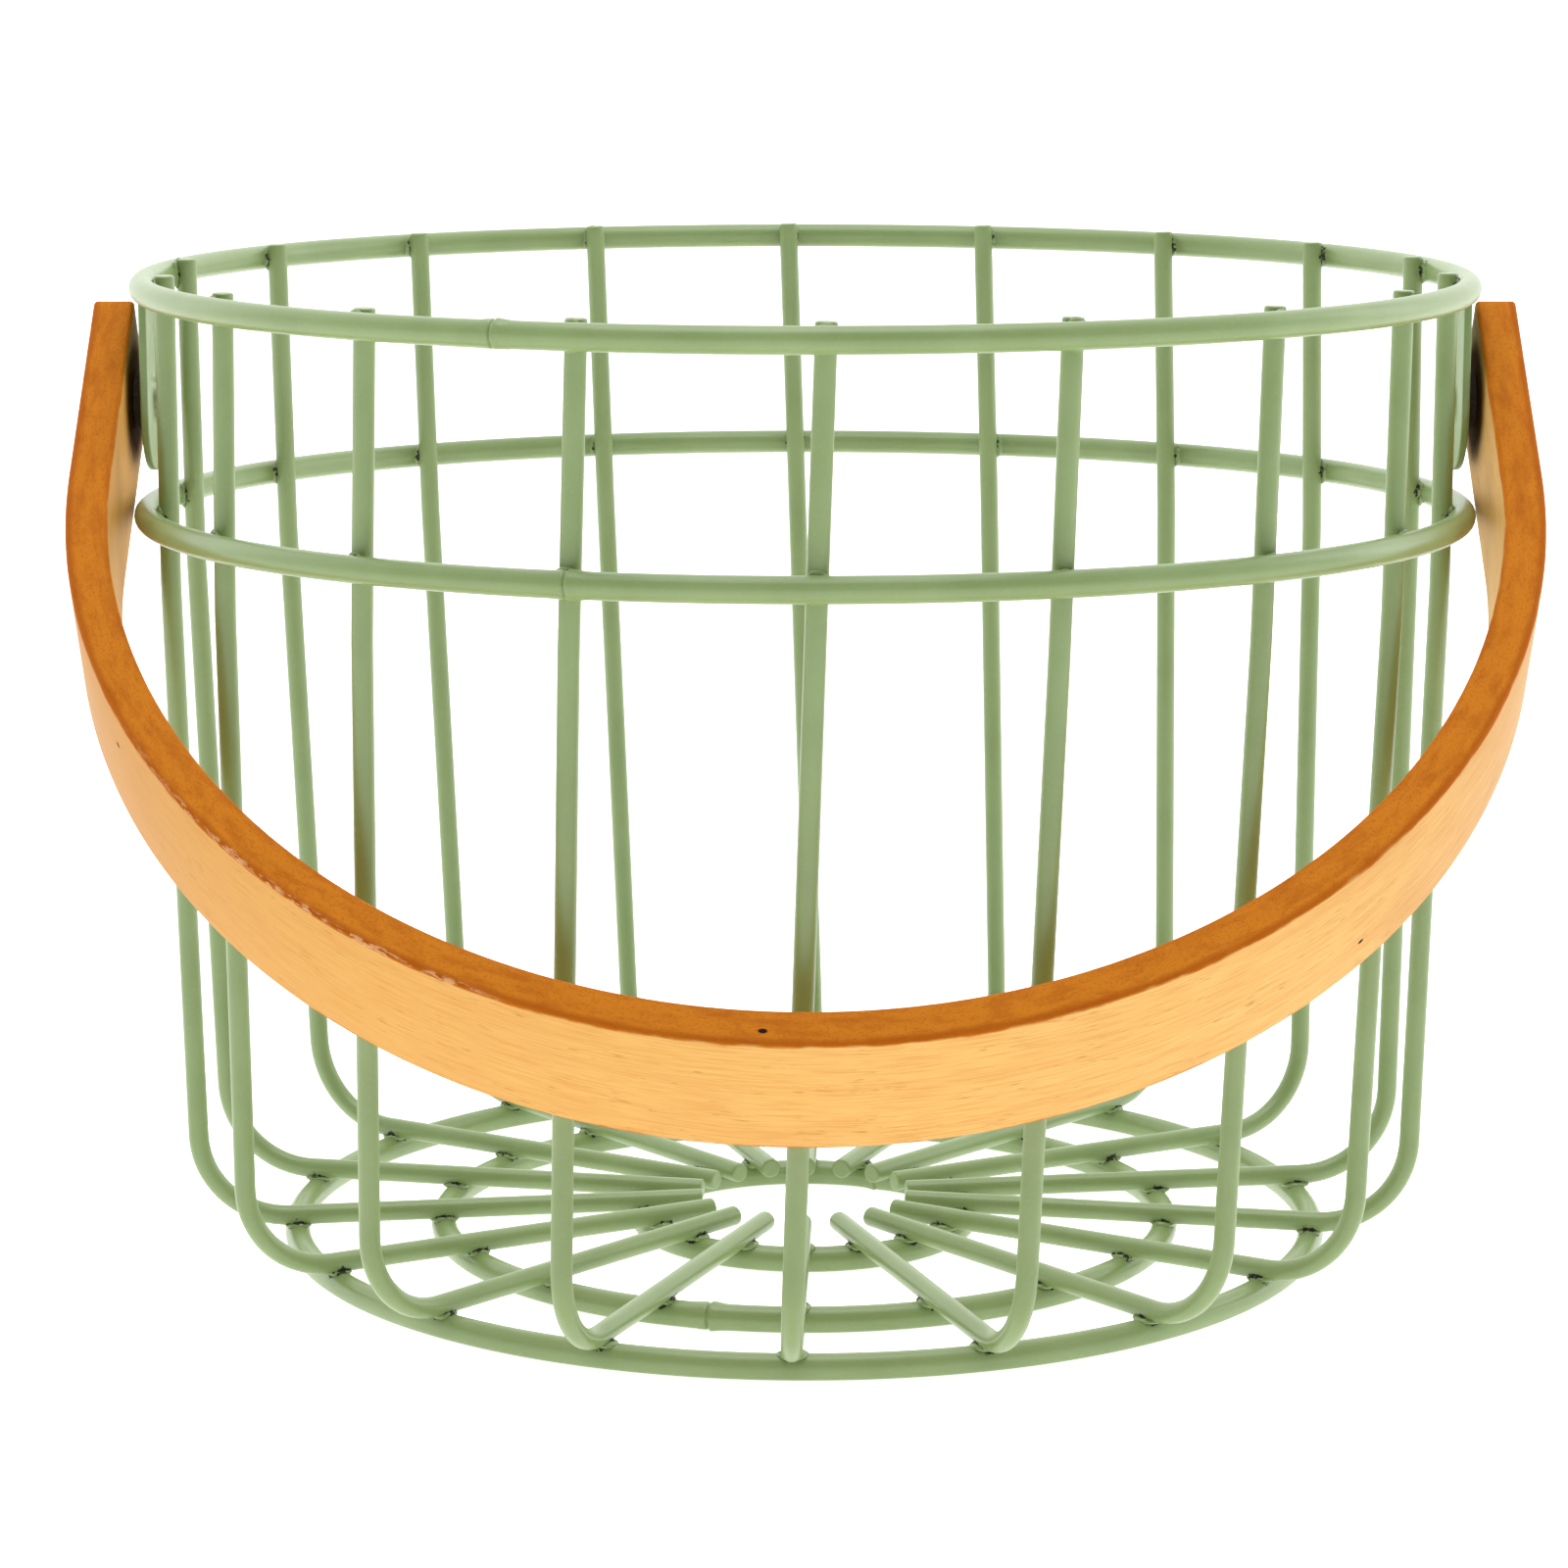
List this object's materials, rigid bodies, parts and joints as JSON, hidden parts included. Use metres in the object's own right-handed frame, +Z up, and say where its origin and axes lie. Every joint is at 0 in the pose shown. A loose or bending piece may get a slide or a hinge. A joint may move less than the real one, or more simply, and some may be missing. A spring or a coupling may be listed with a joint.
{
  "type": "wire produce basket",
  "caption": "Round open wire basket with heavy hoops, leaning L-shaped uprights welded over base rings, and a bentwood bail handle that swings on riveted ears.",
  "frame": {"origin": "on the floor plane, at the centre of the base rings, on the basket's axis", "axes": "+Z up along the basket's axis, +X along the handle's pivot axis to the right-hand ear, -Y the front, where the handle rests"},
  "size_m": [0.2788, 0.2734, 0.1904],
  "materials": {
    "green_coat": "satin powder coat",
    "varnished_wood": "clear honey varnish, satin",
    "rivet_steel": "dull zinc",
    "washer_fibre": "dark fibre"
  },
  "bodies": {
    "basket": {"rim_ring": "green_coat", "middle_ring": "green_coat", "base_ring_outer": "green_coat", "base_ring_middle": "green_coat", "base_ring_inner": "green_coat", "upright_wire_01": "green_coat", "upright_wire_02": "green_coat", "upright_wire_03": "green_coat", "upright_wire_04": "green_coat", "upright_wire_05": "green_coat", "upright_wire_06": "green_coat", "upright_wire_07": "green_coat", "upright_wire_08": "green_coat", "upright_wire_09": "green_coat", "upright_wire_10": "green_coat", "upright_wire_11": "green_coat", "upright_wire_12": "green_coat", "upright_wire_13": "green_coat", "upright_wire_14": "green_coat", "upright_wire_15": "green_coat", "upright_wire_16": "green_coat", "upright_wire_17": "green_coat", "upright_wire_18": "green_coat", "handle_ear_left": "green_coat", "handle_ear_right": "green_coat", "spacer_washer_left": "washer_fibre", "spacer_washer_right": "washer_fibre", "pivot_rivet_left": "rivet_steel", "pivot_rivet_right": "rivet_steel"},
    "handle": {"handle_bow": "varnished_wood"}
  },
  "joints": [
    {"name": "handle_swing", "type": "hinge", "parent": "basket", "child": "handle", "pos_m": [0, 0, 0.1647], "axis": [-1, 0, 0], "range_deg": [0, 254.3]}
  ]
}
